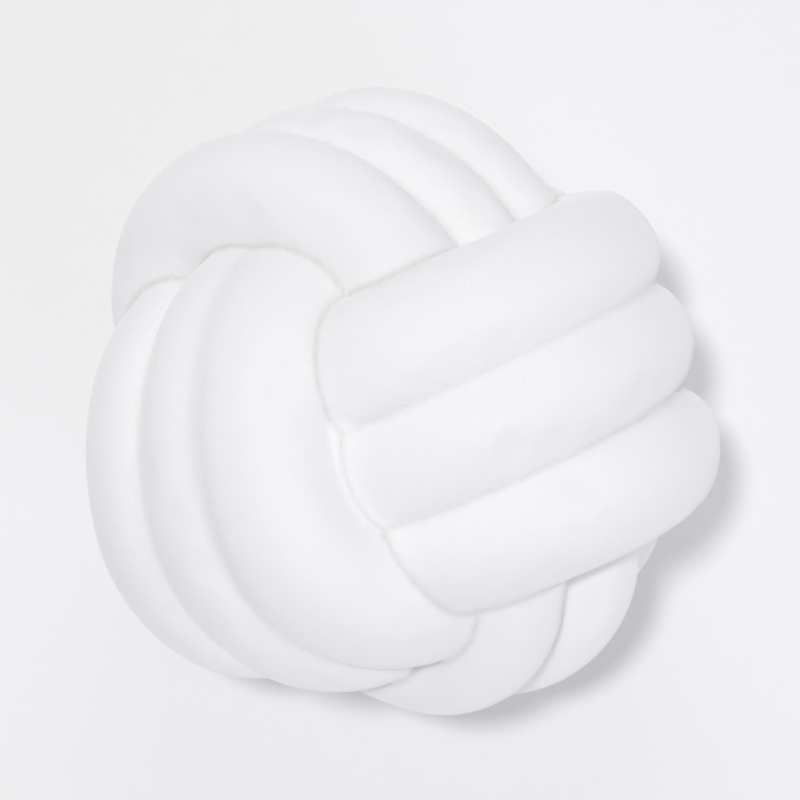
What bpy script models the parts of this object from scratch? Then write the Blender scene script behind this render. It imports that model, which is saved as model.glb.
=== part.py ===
# A ball cushion tied from one fat stuffed tube of plush cloth.
# The knot has three bundles of three turns each.  Every bundle passes outside one of the
# other two and inside the other, so each face of the ball shows three fat strands side by
# side whose ends dive under the neighbouring bundle.  The tube's two ends are tucked in.
# Metres, +Z up.  The ball rests on a small flat spot at z = 0.

from collections import namedtuple
from math import atan2, cos, hypot, pi, radians, sin, sqrt

import bmesh
import bpy
from mathutils import Euler, Vector

# How finely a turn is cut: faces along it, and faces around its section
FACES_ALONG = 48
FACES_AROUND = 14

# The middle of the ball, where the strands press together with no gap left: its radius
# between the crowns, and how much more it reaches under each crown.  The higher the fall,
# the sooner that extra reach is gone away from the crown.
PACKED_RADIUS = 0.097
PACKED_RISE = 0.026
PACKED_FALL = 5
PACKED_SUBDIVISIONS = 3

# The nearest that a strand's middle comes to the axis it runs round
TIGHTEST_RING = 0.029

# Where the knot's centre is above the flat spot, and how its axes are turned
KNOT_CENTRE = Vector((-0.0047, -0.0070, 0.1285))
KNOT_TURN = Euler((radians(77.8), radians(-42.4), radians(-150.6)))

# The flat spot is cut with a block whose top is at z = 0
REST_BLOCK_SIZE = 0.4

# A bundle's turns run round an oval: its crown is where the strands lie outermost, along
# one knot axis, and its inner pass lies along the next axis, under another bundle's crown.
#   crown, inner, across      knot axes (0 = x, 1 = y, 2 = z)
#   radius                    mean distance of a strand's middle from the knot's centre
#   oval                      how much further out it lies at the crown than on the mean
#   lean                      shift of the whole oval along the inner-pass axis
#   tilt                      turn of the oval in its own plane, in degrees
#   shoulders                 how much further out it still lies just before it dives, at
#                             the two ends of the crown and of the back crown
#   half_height, half_width   half sizes of the strand's section
Bundle = namedtuple(
    "Bundle", "crown inner across radius oval lean tilt shoulders half_height half_width")
BUNDLES = {
    "side": Bundle(1, 0, 2, 0.0855, 0.0335, -0.0105, -2.0,
                   (0.0210, 0.0170, 0.0175, 0.0200), 0.0240, 0.0285),
    "front": Bundle(0, 2, 1, 0.0900, 0.0240, -0.0095, -4.0,
                    (0.0155, 0.0000, 0.0030, 0.0110), 0.0245, 0.0280),
    "top": Bundle(2, 1, 0, 0.0805, 0.0320, 0.0075, -8.0,
                  (0.0110, 0.0135, 0.0075, 0.0215), 0.0235, 0.0230),
}

# One row for each turn of the tube: how it passes over its crown, and over its back crown.
#   across   offset across the bundle, in metres
#   lift     how far it stands out past the bundle
#   slant    how far it has swung across by the time it dives, one way at one end and the
#            other way at the other
#   bow      how far it has swung the same way at both ends
#   plump    its section's size against the bundle's
Turn = namedtuple("Turn", "bundle crown back")
Pass = namedtuple("Pass", "across lift slant bow plump")
TURNS = [
    Turn("side", Pass(0.0435, 0.0010, 0.0000, -0.0100, 0.96),
         Pass(0.0410, 0.0020, 0.0000, -0.0100, 0.98)),
    Turn("side", Pass(0.0000, -0.0040, -0.0005, -0.0100, 0.93),
         Pass(0.0000, -0.0040, -0.0005, -0.0100, 0.98)),
    Turn("side", Pass(-0.0500, 0.0015, 0.0020, -0.0005, 0.97),
         Pass(-0.0475, -0.0020, 0.0020, -0.0005, 1.00)),
    Turn("front", Pass(0.0325, 0.0010, -0.0050, 0.0045, 1.04),
         Pass(0.0370, 0.0000, -0.0050, 0.0045, 1.03)),
    Turn("front", Pass(-0.0010, 0.0030, 0.0045, 0.0040, 0.99),
         Pass(-0.0005, 0.0000, 0.0045, 0.0040, 1.03)),
    Turn("front", Pass(-0.0500, 0.0030, 0.0075, -0.0010, 1.06),
         Pass(-0.0450, 0.0050, 0.0075, -0.0010, 1.01)),
    Turn("top", Pass(0.0335, 0.0085, -0.0065, -0.0040, 1.12),
         Pass(0.0315, -0.0080, 0.0000, 0.0030, 1.15)),
    Turn("top", Pass(-0.0065, 0.0065, -0.0055, -0.0020, 0.96),
         Pass(-0.0075, -0.0035, -0.0040, -0.0005, 1.03)),
    Turn("top", Pass(-0.0445, 0.0095, -0.0045, -0.0010, 1.00),
         Pass(-0.0525, -0.0070, -0.0070, -0.0020, 1.10)),
]

# The cloth, off white
CLOTH_COLOUR = (0.86, 0.86, 0.87, 1.0)
CLOTH_ROUGHNESS = 0.9


def clear_scene():
    for thing in list(bpy.data.objects):
        bpy.data.objects.remove(thing, do_unlink=True)


def make_cloth():
    cloth = bpy.data.materials.new("plush_cloth")
    cloth.use_nodes = True
    shader = cloth.node_tree.nodes["Principled BSDF"]
    shader.inputs["Base Color"].default_value = CLOTH_COLOUR
    shader.inputs["Roughness"].default_value = CLOTH_ROUGHNESS
    shader.inputs["Metallic"].default_value = 0.0
    cloth.diffuse_color = CLOTH_COLOUR
    return cloth


def shoulder_at(bundle, angle):
    end = (2 if cos(angle) < 0 else 0) + (1 if sin(angle) < 0 else 0)
    return bundle.shoulders[end] * sin(2 * angle) ** 2 * (1 - 0.5 * cos(2 * angle))


def pass_at(turn, angle):
    # The crown's row all over its side of the ball, turning smoothly to the back crown's
    behind = max(0.0, -cos(angle))
    behind = behind * behind * (3 - 2 * behind)
    return Pass(*(crown + (back - crown) * behind for crown, back in zip(turn.crown, turn.back)))


def strand_middle(turn, angle):
    # Where the middle of a strand runs, in knot axes; the angle is 0 at the crown
    bundle = BUNDLES[turn.bundle]
    here = pass_at(turn, angle)
    across = here.across + here.slant * sin(angle) + here.bow * sin(angle) ** 2
    reach = bundle.radius + bundle.oval * cos(2 * (angle - radians(bundle.tilt)))
    reach += bundle.lean * sin(angle) + shoulder_at(bundle, angle) + here.lift
    ring = sqrt(max(reach * reach - across * across, TIGHTEST_RING * TIGHTEST_RING))
    middle = Vector()
    middle[bundle.crown] = ring * cos(angle)
    middle[bundle.inner] = ring * sin(angle)
    middle[bundle.across] = across
    return middle


def strand_skin(turn, angle, around):
    # A point on the strand's cloth; around is 0 on its outer side
    bundle = BUNDLES[turn.bundle]
    step = radians(1)
    middle = strand_middle(turn, angle)
    along = (strand_middle(turn, angle + step) - strand_middle(turn, angle - step)).normalized()
    out = middle - along * middle.dot(along)
    out.normalize()
    side = along.cross(out)
    plump = pass_at(turn, angle).plump
    rise = bundle.half_height * plump * cos(around)
    spread = bundle.half_width * plump * sin(around)
    return middle + out * rise + side * spread


def place(point):
    return KNOT_TURN.to_matrix() @ point + KNOT_CENTRE


def add_object(name, bm):
    mesh = bpy.data.meshes.new(name)
    bm.to_mesh(mesh)
    bm.free()
    mesh.shade_smooth()
    piece = bpy.data.objects.new(name, mesh)
    bpy.context.scene.collection.objects.link(piece)
    return piece


def make_turn(name, turn):
    # A plain ring is spun first, then each of its points is carried to its place on the turn
    ring_radius = 1.0
    tube_radius = 0.3
    bm = bmesh.new()
    circle = bmesh.ops.create_circle(bm, segments=FACES_AROUND, radius=tube_radius)
    upright = Euler((pi / 2, 0, 0)).to_matrix()
    bmesh.ops.rotate(bm, verts=circle["verts"], matrix=upright)
    bmesh.ops.translate(bm, verts=circle["verts"], vec=(ring_radius, 0, 0))
    bmesh.ops.spin(bm, geom=bm.verts[:] + bm.edges[:], axis=(0, 0, 1), cent=(0, 0, 0),
                   angle=2 * pi, steps=FACES_ALONG, use_merge=True)
    for vert in bm.verts:
        angle = atan2(vert.co.y, vert.co.x)
        around = atan2(vert.co.z, hypot(vert.co.x, vert.co.y) - ring_radius)
        vert.co = place(strand_skin(turn, angle, around))
    bmesh.ops.recalc_face_normals(bm, faces=bm.faces)
    return add_object(name, bm)


def make_packed_middle():
    bm = bmesh.new()
    bmesh.ops.create_icosphere(bm, subdivisions=PACKED_SUBDIVISIONS, radius=1.0)
    for vert in bm.verts:
        # 1 under the middle of a crown, and soon nearly 0 away from it
        under_crown = sum(abs(value) ** PACKED_FALL for value in vert.co)
        vert.co = place(vert.co * (PACKED_RADIUS + PACKED_RISE * under_crown))
    return add_object("packed_middle", bm)


def make_rest_block():
    # What lies below z = 0 is pressed flat
    bm = bmesh.new()
    bmesh.ops.create_cube(bm, size=REST_BLOCK_SIZE)
    bmesh.ops.translate(bm, verts=bm.verts, vec=(0, 0, -REST_BLOCK_SIZE / 2))
    return add_object("rest_block", bm)


def hide_guide(guide):
    guide.hide_render = True
    guide.display_type = "WIRE"


def make_knot(cloth):
    knot = make_turn("knotted_tube", TURNS[0])
    guides = [make_turn(f"turn_{row}", turn) for row, turn in enumerate(TURNS[1:], start=2)]
    guides.append(make_packed_middle())
    together = bpy.data.collections.new("turns")
    bpy.context.scene.collection.children.link(together)
    for guide in guides:
        bpy.context.scene.collection.objects.unlink(guide)
        together.objects.link(guide)
        hide_guide(guide)
    join = knot.modifiers.new("turns pressed together", "BOOLEAN")
    join.operation = "UNION"
    join.operand_type = "COLLECTION"
    join.collection = together
    join.solver = "EXACT"
    block = make_rest_block()
    hide_guide(block)
    press = knot.modifiers.new("flat spot", "BOOLEAN")
    press.operation = "DIFFERENCE"
    press.object = block
    press.solver = "EXACT"
    knot.data.materials.append(cloth)
    return knot


clear_scene()
make_knot(make_cloth())
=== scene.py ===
# The looks of a ball cushion tied from one fat stuffed tube of white plush cloth.
# Metres, +Z up.  The ball lies on its flat spot at z = 0 and is seen from straight above.

from collections import namedtuple
from math import pi, radians

import bmesh
import bpy
import numpy as np
from mathutils import Euler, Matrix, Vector


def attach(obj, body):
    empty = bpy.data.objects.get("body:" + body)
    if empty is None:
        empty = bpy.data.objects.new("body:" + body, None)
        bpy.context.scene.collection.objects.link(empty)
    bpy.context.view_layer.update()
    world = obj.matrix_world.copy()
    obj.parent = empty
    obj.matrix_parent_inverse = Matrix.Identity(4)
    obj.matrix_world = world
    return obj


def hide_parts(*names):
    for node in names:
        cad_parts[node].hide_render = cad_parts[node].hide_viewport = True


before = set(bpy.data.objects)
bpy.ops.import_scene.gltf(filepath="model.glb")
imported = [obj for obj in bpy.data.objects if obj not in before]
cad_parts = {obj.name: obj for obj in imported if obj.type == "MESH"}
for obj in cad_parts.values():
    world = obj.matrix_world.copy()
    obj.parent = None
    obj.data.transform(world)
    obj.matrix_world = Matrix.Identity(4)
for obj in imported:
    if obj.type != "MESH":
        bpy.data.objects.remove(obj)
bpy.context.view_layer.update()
print("frame loaded:", sorted(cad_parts))


def unit(rows):
    return rows / np.linalg.norm(rows, axis=1, keepdims=True)


def rowDot(a, b):
    return np.einsum("ij,ij->i", a, b)


def waves(points, length, seed, count=9):
    # A smooth uneven field between about -1 and 1, its bumps about half a length across
    rng = np.random.default_rng(seed)
    field = np.zeros(len(points))
    for _ in range(count):
        heading = rng.normal(size=3)
        heading /= np.linalg.norm(heading) * length * rng.uniform(0.75, 1.35)
        field += np.sin(2 * pi * (points @ heading) + rng.uniform(0, 2 * pi))
    return field / np.sqrt(count)


def newObject(name, mesh):
    piece = bpy.data.objects.new(name, mesh)
    bpy.context.scene.collection.objects.link(piece)
    return piece


def newMesh(name, bm):
    # Edges and faces in a fixed order, so that the cloth gives the same result in every run
    total = len(bm.verts)

    def rank(part):
        lowest = sorted(vert.index for vert in part.verts)[:3]
        return sum(index * total ** power for power, index in enumerate(reversed(lowest)))

    bm.verts.index_update()
    bm.edges.sort(key=rank)
    bm.faces.sort(key=rank)
    mesh = bpy.data.meshes.new(name)
    bm.to_mesh(mesh)
    bm.free()
    ends = np.empty(len(mesh.edges) * 2, dtype=np.int32)
    mesh.edges.foreach_get("vertices", ends)
    mesh.edges.foreach_set("vertices", np.sort(ends.reshape(-1, 2), axis=1).ravel())
    return mesh


def getPoints(mesh):
    points = np.empty(len(mesh.vertices) * 3)
    mesh.vertices.foreach_get("co", points)
    return points.reshape(-1, 3)


def setPoints(mesh, points):
    mesh.vertices.foreach_set("co", points.ravel())
    mesh.update()


def getValues(mesh, name):
    values = np.empty(len(mesh.vertices), dtype=np.float32)
    mesh.attributes[name].data.foreach_get("value", values)
    return values


def setValues(mesh, name, values):
    layer = mesh.attributes.get(name) or mesh.attributes.new(name, "FLOAT", "POINT")
    layer.data.foreach_set("value", np.asarray(values, dtype=np.float32))


# A bundle is three turns side by side, which run round an oval.
#   crown, inner, across   knot axes (0 = x, 1 = y, 2 = z): where the turns lie outermost,
#                          where they pass under another bundle's crown, and the third one
#   radius                 mean distance of a strand's middle from the knot's centre
#   oval                   how much further out it lies at the crown than on the mean
#   lean, tilt             shift of the oval along the inner axis, and its turn in degrees
#   shoulders              how much further out it still is just before it dives, at the
#                          two ends of the crown and of the back crown
#   high, wide             half sizes of the strand's section
Bundle = namedtuple("Bundle", "crown inner across radius oval lean tilt shoulders high wide")

# How a turn passes over its crown, or over its back crown: its offset across the bundle, how
# far it stands out, how far it has swung by the time it dives (one way at one end and the
# other way at the other, or the same way at both) and how fat it is against its bundle
Pass = namedtuple("Pass", "across lift slant bow plump")
Turn = namedtuple("Turn", "bundle crown back")

tube = {
    "knotCentre": (-0.0047, -0.0070, 0.1285),
    "knotTurn": (77.8, -42.4, -150.6),       # degrees
    "tightestRing": 0.029,                   # nearest a strand comes to the axis it runs round
    "stepsAlong": 98,                        # faces along a turn, before the subdivision
    "stepsAround": 28,                       # faces around its section
    "crownCrowding": 0.15,                   # more of the steps along lie at the crowns
    "outerCrowding": 0.20,                   # more of the steps around lie on the outer side
    "squareness": 2.2,                       # 2 is an oval section, more is fuller
    "laneSamples": 360,                      # samples of a strand's middle for the contact
    "lumps": ((0.110, 0.016), (0.045, 0.007)),   # wave length, share of the section
    "packedRadius": 0.097,                   # of the middle, where the strands leave no gap
    "packedRise": 0.026,                     # how much more it reaches under each crown
    "packedFall": 5,                         # how soon that is gone away from the crown
    "bundles": {
        "side": Bundle(1, 0, 2, 0.0855, 0.0335, -0.0105, -2.0,
                       (0.0210, 0.0170, 0.0175, 0.0200), 0.0235, 0.0275),
        "front": Bundle(0, 2, 1, 0.0900, 0.0240, -0.0095, -4.0,
                        (0.0180, 0.0000, 0.0030, 0.0110), 0.0245, 0.0280),
        "top": Bundle(2, 1, 0, 0.0805, 0.0320, 0.0075, -8.0,
                      (0.0110, 0.0120, 0.0075, 0.0215), 0.0235, 0.0230),
    },
    "turns": [
        Turn("side", Pass(0.0440, 0.0010, 0.0020, -0.0110, 0.98),
             Pass(0.0410, 0.0020, 0.0000, -0.0100, 0.98)),
        Turn("side", Pass(0.0000, -0.0030, 0.0010, -0.0105, 0.93),
             Pass(0.0000, -0.0040, -0.0005, -0.0100, 0.98)),
        Turn("side", Pass(-0.0510, 0.0020, 0.0035, 0.0010, 0.99),
             Pass(-0.0475, -0.0020, 0.0020, -0.0005, 1.00)),
        Turn("front", Pass(0.0320, 0.0010, -0.0065, 0.0060, 1.04),
             Pass(0.0370, 0.0000, -0.0050, 0.0045, 1.03)),
        Turn("front", Pass(-0.0010, 0.0030, 0.0045, 0.0040, 0.99),
             Pass(-0.0005, 0.0000, 0.0045, 0.0040, 1.03)),
        Turn("front", Pass(-0.0500, 0.0030, 0.0075, -0.0010, 1.07),
             Pass(-0.0450, 0.0050, 0.0075, -0.0010, 1.01)),
        Turn("top", Pass(0.0360, 0.0090, -0.0065, -0.0040, 1.16),
             Pass(0.0325, -0.0045, 0.0000, 0.0030, 1.07)),
        Turn("top", Pass(-0.0075, 0.0070, -0.0055, -0.0020, 0.96),
             Pass(-0.0075, -0.0010, -0.0040, -0.0005, 1.04)),
        Turn("top", Pass(-0.0445, 0.0105, -0.0045, -0.0010, 1.00),
             Pass(-0.0525, -0.0070, -0.0070, -0.0020, 1.10)),
    ],
}

# How the cloth meets cloth.  Sizes without a unit are shares of a strand's section.
contact = {
    "searchSteps": 6,                        # samples looked at to both sides of the last one
    "halvings": 13,                          # steps in which the flat between strands is found
    "batches": 12,                           # parts in which the skin's creases are worked out
    "softBeside": 0.14,                      # how wide the pile bridges a crease in a bundle
    "softAcross": 0.06,                      # and where a strand dives under another bundle
    "overlap": 0.12,                         # how far the two piles mingle under the crease
    "leaning": 0.45,                         # cloth this near to another strand keeps its size
    "skinGrain": 0.0014,                     # metres, size of the finished skin's faces
    "skinSmoothing": 2,                      # rounds of smoothing after that
    "creaseWidth": 0.08,                     # of the shaded line in a crease
    "creaseBeside": 0.35,                    # its strength in a bundle, and 1 between bundles
    "pucker": 0.020,                         # depth of the gathers where a strand dives
    "puckerLength": 0.015,                   # metres, from one gather to the next
    "puckerReach": 0.30,                     # how far they reach away from the other bundle
    "restSoftness": 0.0010,                  # metres, how softly the cloth turns off the floor
}

# How the stuffing swells the cloth between the lines where the strands hold each other
stuffing = {
    "slim": 0.004,                           # how much slimmer the strands start
    "heldGap": 0.16,                         # cloth this near to another strand is held
    "floorGap": 0.001,                       # metres, and cloth this near to the floor
    "heldLevels": 5,                         # steps between free and held cloth
    "weight": 0.3,
    "pressure": 20.0,
    "stiffness": 12.0,
    "bending": 1.0,
    "slack": 0.012,                          # spare cloth, as a share of its length
    "lastStep": 20,
    "farthest": 0.003,                       # metres, most that a point may move
}

knotAxes = np.array(Euler([radians(part) for part in tube["knotTurn"]]).to_matrix())

# Samples of one strand: its middle, its axes, its half sizes and the length run so far
Lane = namedtuple("Lane", "bundle middle along out side high wide run")


def passAt(turn, angle):
    # The crown's row all over its side of the ball, turning smoothly to the back crown's
    behind = np.maximum(0.0, -np.cos(angle))
    behind = behind ** 2 * (3 - 2 * behind)
    return Pass(*(crown + (back - crown) * behind for crown, back in zip(turn.crown, turn.back)))


def strandMiddle(turn, angle):
    bundle = tube["bundles"][turn.bundle]
    here = passAt(turn, angle)
    across = here.across + here.slant * np.sin(angle) + here.bow * np.sin(angle) ** 2
    corner = 2 * (np.cos(angle) < 0) + (np.sin(angle) < 0)
    shoulder = np.array(bundle.shoulders)[corner]
    reach = bundle.radius + bundle.oval * np.cos(2 * (angle - radians(bundle.tilt)))
    reach = reach + bundle.lean * np.sin(angle) + here.lift
    reach = reach + shoulder * np.sin(2 * angle) ** 2 * (1 - 0.5 * np.cos(2 * angle))
    ring = np.sqrt(np.maximum(reach ** 2 - across ** 2, tube["tightestRing"] ** 2))
    middle = np.empty((len(angle), 3))
    middle[:, bundle.crown] = ring * np.cos(angle)
    middle[:, bundle.inner] = ring * np.sin(angle)
    middle[:, bundle.across] = across
    return middle


def laneOf(turn, angle):
    bundle = tube["bundles"][turn.bundle]
    step = radians(1)
    middle = strandMiddle(turn, angle)
    along = unit(strandMiddle(turn, angle + step) - strandMiddle(turn, angle - step))
    out = unit(middle - along * rowDot(middle, along)[:, None])
    side = np.cross(along, out)
    plump = passAt(turn, angle).plump
    middle = middle @ knotAxes.T + np.array(tube["knotCentre"])
    hop = np.linalg.norm(np.roll(middle, -1, axis=0) - middle, axis=1)
    return Lane(turn.bundle, middle, along @ knotAxes.T, out @ knotAxes.T, side @ knotAxes.T,
                bundle.high * plump, bundle.wide * plump, np.cumsum(hop) - hop)


def nearestRow(points, lane, row=None):
    # The sample of a strand's middle that is nearest to each point, sought near the last one
    if row is None:
        return (points @ lane.middle.T - 0.5 * rowDot(lane.middle, lane.middle)).argmax(axis=1)
    steps = np.arange(-contact["searchSteps"], contact["searchSteps"] + 1)
    window = (row[:, None] + steps) % len(lane.middle)
    away = points[:, None, :] - lane.middle[window]
    best = np.einsum("ijk,ijk->ij", away, away).argmin(axis=1)
    return window[np.arange(len(row)), best]


def shareOf(points, lane, row=None):
    # How far each point lies from a strand's middle, as a share of the strand's section
    row = nearestRow(points, lane, row)
    away = points - lane.middle[row]
    away = away - rowDot(away, lane.along[row])[:, None] * lane.along[row]
    rise = np.abs(rowDot(away, lane.out[row])) / lane.high[row]
    spread = np.abs(rowDot(away, lane.side[row])) / lane.wide[row]
    square = tube["squareness"]
    return (rise ** square + spread ** square) ** (1 / square), row


def spokesOf(points, lane):
    # Each point's foot on the strand's middle, a spoke that ends on the plain section, and
    # how many of these spokes out from the foot the point is
    share, row = shareOf(points, lane)
    ahead = rowDot(points - lane.middle[row], lane.along[row])
    foot = lane.middle[row] + ahead[:, None] * lane.along[row]
    return foot, (points - foot) / share[:, None], share


def pressTogether(points, place, lanes, soft=True):
    # Where a strand meets others, its cloth is pressed flat halfway between them, and the
    # pile bridges the crease beside the flat.  Gives the points, how near the next strand
    # is, how near the next bundle is, and where along that bundle's strand.
    foot, spoke, size = spokesOf(points, lanes[place])
    widest = contact["softBeside"]
    gap = np.full(len(points), 9.0)
    foreignGap = np.full(len(points), 9.0)
    foreignRun = np.zeros(len(points))
    found = []
    for lane in lanes[:place] + lanes[place + 1:]:
        share, row = shareOf(foot + spoke, lane)
        gap = np.minimum(gap, np.maximum(share - 1, 0))
        across = lane.bundle != lanes[place].bundle
        if across:
            foreignRun = np.where(share - 1 < foreignGap, lane.run[row], foreignRun)
            foreignGap = np.minimum(foreignGap, share - 1)
        if share.min() < 1 + widest:
            found.append((lane, row, contact["softAcross" if across else "softBeside"]))
    # No strand shrinks away from the one that it leans on
    size = size + np.maximum(1 - size, 0) * np.exp(-(gap / contact["leaning"]) ** 2)
    # The flat is sought between the strand's core and just past its plain section
    close = np.flatnonzero(gap < widest)
    low, high = np.full(len(close), 0.2), np.full(len(close), 1 + widest)
    rows = [row[close] for lane, row, bridge in found]
    for _ in range(contact["halvings"]):
        half = (low + high) / 2
        own = size[close] * half
        trial = foot[close] + spoke[close] * own[:, None]
        beyond = np.zeros(len(close), dtype=bool)
        lift = np.zeros(len(close))
        for number, (lane, _, bridge) in enumerate(found):
            share, rows[number] = shareOf(trial, lane, rows[number])
            beyond |= share < own - (contact["overlap"] if soft else 0)
            if soft:
                spare = np.maximum(bridge - np.abs(share - half), 0)
                lift = np.maximum(lift, spare ** 2 / (4 * bridge))
        beyond |= half - lift > 1
        high = np.where(beyond, half, high)
        low = np.where(beyond, low, half)
    size[close] *= low
    return foot + spoke * size[:, None], gap, foreignGap, foreignRun


def gather(points, place, lanes, foreignGap, foreignRun):
    # Shallow gathers, where a strand dives under another bundle
    foot, spoke, size = spokesOf(points, lanes[place])
    fold = np.exp(-np.maximum(foreignGap, 0) / contact["puckerReach"])
    ripple = np.sin(2 * pi * foreignRun / contact["puckerLength"]
                    + 3.5 * waves(points, 0.030, 20 * place + 7))
    patchy = np.clip(0.45 + 0.7 * waves(points, 0.040, 20 * place + 8), 0, 1)
    drawn = contact["pucker"] * fold * patchy * (0.5 + 0.5 * ripple)
    return foot + spoke * (size - drawn)[:, None]


def plainRing(name):
    # A plain ring round Z, 1 m to its middle, with its section's outer side at angle 0
    bm = bmesh.new()
    circle = bmesh.ops.create_circle(bm, segments=tube["stepsAround"], radius=0.3)
    upright = Euler((pi / 2, 0, 0)).to_matrix()
    bmesh.ops.rotate(bm, verts=circle["verts"], matrix=upright)
    bmesh.ops.translate(bm, verts=circle["verts"], vec=(1, 0, 0))
    bmesh.ops.spin(bm, geom=bm.verts[:] + bm.edges[:], axis=(0, 0, 1), cent=(0, 0, 0),
                   angle=2 * pi, steps=tube["stepsAlong"], use_merge=True)
    bmesh.ops.recalc_face_normals(bm, faces=bm.faces)
    return newMesh(name, bm)


def softFloor(points):
    soft = contact["restSoftness"]
    points[:, 2] = soft * np.logaddexp(0, points[:, 2] / soft)
    return points


def makeTurn(place, lanes):
    # One turn of the tube, slim where its cloth is free to swell
    turn = tube["turns"][place]
    mesh = plainRing(f"turn{place}")
    plain = getPoints(mesh)
    angle = np.arctan2(plain[:, 1], plain[:, 0])
    around = np.arctan2(plain[:, 2], np.hypot(plain[:, 0], plain[:, 1]) - 1)
    angle = angle - tube["crownCrowding"] * np.sin(2 * angle) / 2
    around = around - tube["outerCrowding"] * np.sin(around)
    own = laneOf(turn, angle)
    square = 2 / tube["squareness"]
    rise = np.sign(np.cos(around)) * np.abs(np.cos(around)) ** square * own.high
    spread = np.sign(np.sin(around)) * np.abs(np.sin(around)) ** square * own.wide
    spoke = own.out * rise[:, None] + own.side * spread[:, None]
    swell = 1 + sum(share * waves(own.middle + spoke, length, 20 * place + number)
                    for number, (length, share) in enumerate(tube["lumps"]))
    points = own.middle + spoke * swell[:, None]
    points, gap, *_ = pressTogether(points, place, lanes, soft=False)
    held = np.clip(1.2 - gap / stuffing["heldGap"], 0, 1)
    held = np.maximum(held, points[:, 2] < stuffing["floorGap"])
    slim = 1 - stuffing["slim"] * (1 - held)
    points = own.middle + (points - own.middle) * slim[:, None]
    setPoints(mesh, softFloor(points))
    normals = np.array([vert.normal for vert in mesh.vertices])
    if rowDot(normals, spoke).mean() < 0:
        mesh.flip_normals()
    setValues(mesh, "held", held)
    setValues(mesh, "turn", np.full(len(points), place))
    return newObject(f"turn{place}", mesh)


def makePackedMiddle(place):
    # The middle of the ball, where the strands press together with no gap left
    bm = bmesh.new()
    bmesh.ops.create_icosphere(bm, subdivisions=4, radius=1)
    mesh = newMesh("packedMiddle", bm)
    ball = getPoints(mesh)
    underCrown = (np.abs(ball) ** tube["packedFall"]).sum(axis=1)
    ball *= (tube["packedRadius"] + tube["packedRise"] * underCrown)[:, None]
    setPoints(mesh, softFloor(ball @ knotAxes.T + np.array(tube["knotCentre"])))
    setValues(mesh, "held", np.ones(len(ball)))
    setValues(mesh, "turn", np.full(len(ball), place))
    return newObject("packedMiddle", mesh)


def swellCloth(knot):
    # Cloth held along its creases, swollen by the stuffing inside it
    start = getPoints(knot.data)
    levels = stuffing["heldLevels"]
    held = np.round(getValues(knot.data, "held") * levels).astype(int)
    group = knot.vertex_groups.new(name="held")
    for level in range(1, levels + 1):
        group.add(np.flatnonzero(held == level).tolist(), level / levels, "REPLACE")
    cloth = knot.modifiers.new("stuffing", "CLOTH")
    cloth.settings.quality = 5
    cloth.settings.mass = stuffing["weight"]
    cloth.settings.tension_stiffness = stuffing["stiffness"]
    cloth.settings.compression_stiffness = stuffing["stiffness"]
    cloth.settings.bending_stiffness = stuffing["bending"]
    cloth.settings.shrink_min = -stuffing["slack"]
    cloth.settings.use_pressure = True
    cloth.settings.uniform_pressure_force = stuffing["pressure"]
    cloth.settings.vertex_group_mass = "held"
    cloth.settings.effector_weights.gravity = 0
    cloth.collision_settings.use_collision = False
    cloth.point_cache.frame_start = 1
    cloth.point_cache.frame_end = stuffing["lastStep"]
    for step in range(1, stuffing["lastStep"] + 1):
        bpy.context.scene.frame_set(step)
    depsgraph = bpy.context.evaluated_depsgraph_get()
    swollen = getPoints(knot.evaluated_get(depsgraph).data)
    knot.modifiers.remove(cloth)
    knot.vertex_groups.remove(group)
    bpy.context.scene.frame_set(1)
    move = swollen - start
    length = np.linalg.norm(move, axis=1)
    print("cloth moved by", round(length.mean() * 1000, 2), "mm on average, at most",
          round(length.max() * 1000, 2))
    move *= np.minimum(1, stuffing["farthest"] / np.maximum(length, 1e-9))[:, None]
    setPoints(knot.data, start + move)


def applyModifiers(knot):
    depsgraph = bpy.context.evaluated_depsgraph_get()
    mesh = bpy.data.meshes.new_from_object(knot.evaluated_get(depsgraph),
                                           preserve_all_data_layers=True, depsgraph=depsgraph)
    knot.modifiers.clear()
    knot.data = mesh


def subdivide(knot):
    finer = knot.modifiers.new("finer", "SUBSURF")
    finer.levels = finer.render_levels = 1
    applyModifiers(knot)


def joinPile(knot):
    # Where strands touch, their pile mingles: one skin, its creases a little softened
    skin = knot.modifiers.new("one skin", "REMESH")
    skin.mode = "VOXEL"
    skin.voxel_size = contact["skinGrain"]
    skin.use_smooth_shade = True
    soft = knot.modifiers.new("soft", "SMOOTH")
    soft.factor = 0.5
    soft.iterations = contact["skinSmoothing"]
    applyModifiers(knot)


def creasesOf(points, lanes):
    # Mask of the shade painted into the creases: 1 in a crease and soon nearly 0 beside it,
    # between neighbours, and between bundles
    besideGap, acrossGap = [], []
    names = [lane.bundle for lane in lanes]
    for part in np.array_split(points, contact["batches"]):
        shares = np.array([shareOf(part, lane)[0] for lane in lanes])
        nearest = np.sort(shares, axis=0)
        besideGap.append(nearest[1] - nearest[0])
        bundles = np.array([shares[[name == one for name in names]].min(axis=0)
                            for one in sorted(set(names))])
        nearest = np.sort(bundles, axis=0)
        acrossGap.append(nearest[1] - nearest[0])
    beside = np.exp(-(np.concatenate(besideGap) / contact["creaseWidth"]) ** 2)
    across = np.exp(-(np.concatenate(acrossGap) / contact["creaseWidth"]) ** 2)
    return np.maximum(contact["creaseBeside"] * beside, across)


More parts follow.
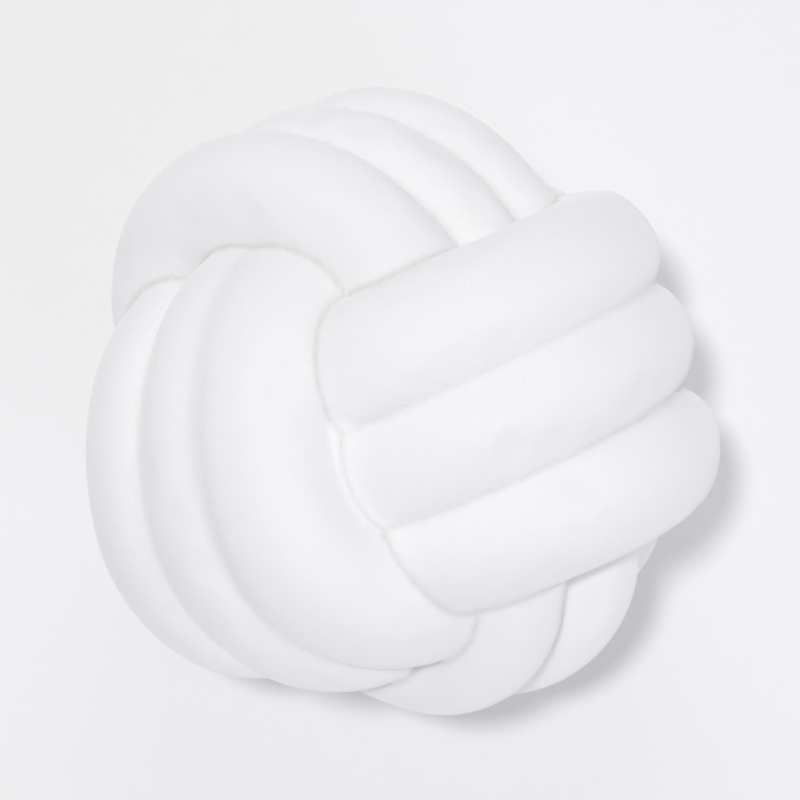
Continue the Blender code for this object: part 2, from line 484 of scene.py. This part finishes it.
def makeTube():
    angles = np.linspace(0, 2 * pi, tube["laneSamples"], endpoint=False)
    lanes = [laneOf(turn, angles) for turn in tube["turns"]]
    parts = [makeTurn(place, lanes) for place in range(len(lanes))]
    parts.append(makePackedMiddle(len(lanes)))
    print("turns laid:", len(lanes))
    with bpy.context.temp_override(active_object=parts[0], selected_editable_objects=parts):
        bpy.ops.object.join()
    knot = parts[0]
    swellCloth(knot)
    subdivide(knot)
    points = getPoints(knot.data)
    place = np.round(getValues(knot.data, "turn")).astype(int)
    for number in range(len(lanes)):
        mine = place == number
        pressed, _, foreignGap, foreignRun = pressTogether(points[mine], number, lanes)
        points[mine] = gather(pressed, number, lanes, foreignGap, foreignRun)
    setPoints(knot.data, points)
    joinPile(knot)
    points = getPoints(knot.data)
    points[:, 2] = np.maximum(points[:, 2] - points[:, 2].min(), 0)
    setPoints(knot.data, points)
    # The mask of the shade painted into the cloth's colour along its creases
    setValues(knot.data, "crease", creasesOf(points, lanes))
    knot.name = knot.data.name = "plushTube"
    knot.data.shade_smooth()
    return knot


plush = {
    "colour": (0.925, 0.925, 0.925),
    "napColour": (0.895, 0.895, 0.905),      # where the pile lies the other way
    # painted shade: the grey the cloth is coloured in its creases, standing in for the shade
    # that falls there
    "paintedCreaseShade": (0.805, 0.798, 0.796),
    "napScale": 14.0,                        # patches of nap to a metre
    "roughness": 0.95,
    "specular": 0.2,
    "sheen": 0.35,
    "sheenRoughness": 0.5,
    "scatter": 0.5,                          # share of light that spreads inside the pile
    "scatterReach": 0.006,
    "pileLength": 0.0016,                    # size of the pile's tufts
    "tuftBump": (0.35, 0.0006),              # strength, depth
    "fibreSize": 0.0004,
    "fibreBump": (0.2, 0.0002),
}


def addNode(tree, kind, place, **values):
    node = tree.nodes.new(kind)
    node.location = place
    for name, value in values.items():
        if name in node.inputs:
            node.inputs[name].default_value = value
        else:
            setattr(node, name, value)
    return node


def makePlush():
    material = bpy.data.materials.new("whitePlush")
    material.use_nodes = True
    tree = material.node_tree
    link = tree.links.new
    shader = tree.nodes["Principled BSDF"]
    shader.inputs["Roughness"].default_value = plush["roughness"]
    shader.inputs["Specular IOR Level"].default_value = plush["specular"]
    shader.inputs["Sheen Weight"].default_value = plush["sheen"]
    shader.inputs["Sheen Roughness"].default_value = plush["sheenRoughness"]
    shader.inputs["Subsurface Weight"].default_value = plush["scatter"]
    shader.inputs["Subsurface Radius"].default_value = (1.0, 1.0, 1.0)
    shader.inputs["Subsurface Scale"].default_value = plush["scatterReach"]

    where = addNode(tree, "ShaderNodeTexCoord", (-1500, 0))
    crease = addNode(tree, "ShaderNodeAttribute", (-1500, 300), attribute_name="crease")

    nap = addNode(tree, "ShaderNodeTexNoise", (-1200, 100), Scale=plush["napScale"],
                  Detail=4.0, Roughness=0.6)
    link(where.outputs["Object"], nap.inputs["Vector"])
    napTone = addNode(tree, "ShaderNodeMix", (-900, 100), data_type="RGBA")
    napTone.inputs["A"].default_value = (*plush["colour"], 1)
    napTone.inputs["B"].default_value = (*plush["napColour"], 1)
    link(nap.outputs["Fac"], napTone.inputs["Factor"])
    # Painted shade: the base colour turns grey along the creases, where the strands shade each
    # other
    tone = addNode(tree, "ShaderNodeMix", (-600, 200), data_type="RGBA")
    tone.inputs["B"].default_value = (*plush["paintedCreaseShade"], 1)
    link(crease.outputs["Fac"], tone.inputs["Factor"])
    link(napTone.outputs["Result"], tone.inputs["A"])
    link(tone.outputs["Result"], shader.inputs["Base Color"])

    tufts = addNode(tree, "ShaderNodeTexNoise", (-1200, -200), Scale=1 / plush["pileLength"],
                    Detail=2.0, Roughness=0.55)
    link(where.outputs["Object"], tufts.inputs["Vector"])
    fibres = addNode(tree, "ShaderNodeTexNoise", (-1200, -500), Scale=1 / plush["fibreSize"],
                     Detail=1.0)
    link(where.outputs["Object"], fibres.inputs["Vector"])
    strength, depth = plush["tuftBump"]
    tuftBump = addNode(tree, "ShaderNodeBump", (-600, -200), Strength=strength, Distance=depth)
    link(tufts.outputs["Fac"], tuftBump.inputs["Height"])
    strength, depth = plush["fibreBump"]
    fibreBump = addNode(tree, "ShaderNodeBump", (-300, -300), Strength=strength, Distance=depth)
    link(fibres.outputs["Fac"], fibreBump.inputs["Height"])
    link(tuftBump.outputs["Normal"], fibreBump.inputs["Normal"])
    link(fibreBump.outputs["Normal"], shader.inputs["Normal"])
    return material


studio = {
    "floorSize": 12.0,
    "floorColour": (0.90, 0.90, 0.90),
    "worldColour": (0.965, 0.96, 1.0),
    "worldStrength": 0.52,
    "cameraPlace": (-0.0017, -0.0002, 1.7375),
    "lens": 164.6,
}

# Each light: place, size, power, colour
lights = {
    "overhead": ((-0.45, 0.36, 4.1), 0.36, 60.0, (1.0, 1.0, 0.99)),
    "soft": ((0.1, 2.6, 2.4), 1.8, 11.0, (1.0, 1.0, 0.99)),
    "low": ((1.5, -1.6, 1.0), 1.6, 8.0, (0.94, 0.90, 1.0)),
}


def makeStudio():
    bm = bmesh.new()
    bmesh.ops.create_grid(bm, x_segments=1, y_segments=1, size=studio["floorSize"] / 2)
    mesh = newMesh("floor", bm)
    floor = newObject("floor", mesh)
    paint = bpy.data.materials.new("paleFloor")
    paint.use_nodes = True
    shader = paint.node_tree.nodes["Principled BSDF"]
    shader.inputs["Base Color"].default_value = (*studio["floorColour"], 1)
    shader.inputs["Roughness"].default_value = 0.9
    shader.inputs["Specular IOR Level"].default_value = 0.1
    mesh.materials.append(paint)

    world = bpy.data.worlds.new("studioWorld")
    world.use_nodes = True
    sky = world.node_tree.nodes["Background"]
    sky.inputs["Color"].default_value = (*studio["worldColour"], 1)
    sky.inputs["Strength"].default_value = studio["worldStrength"]
    bpy.context.scene.world = world

    for name, (place, size, power, colour) in lights.items():
        lamp = bpy.data.lights.new(name, "AREA")
        lamp.shape = "DISK"
        lamp.size = size
        lamp.energy = power
        lamp.color = colour
        holder = newObject(name, lamp)
        holder.location = place
        aim = Vector(tube["knotCentre"]) - holder.location
        holder.rotation_euler = aim.to_track_quat("-Z", "Y").to_euler()

    lensData = bpy.data.cameras.new("camera")
    lensData.lens = studio["lens"]
    lensData.sensor_width = 36
    lensData.clip_end = 50
    camera = newObject("camera", lensData)
    camera.location = studio["cameraPlace"]
    bpy.context.scene.camera = camera
    bpy.context.scene.view_settings.view_transform = "Standard"


makeStudio()
print("studio ready")
knot = makeTube()
knot.data.materials.clear()
knot.data.materials.append(makePlush())
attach(knot, "root")
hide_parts("knotted_tube")
print("tube tied:", len(knot.data.vertices), "points")
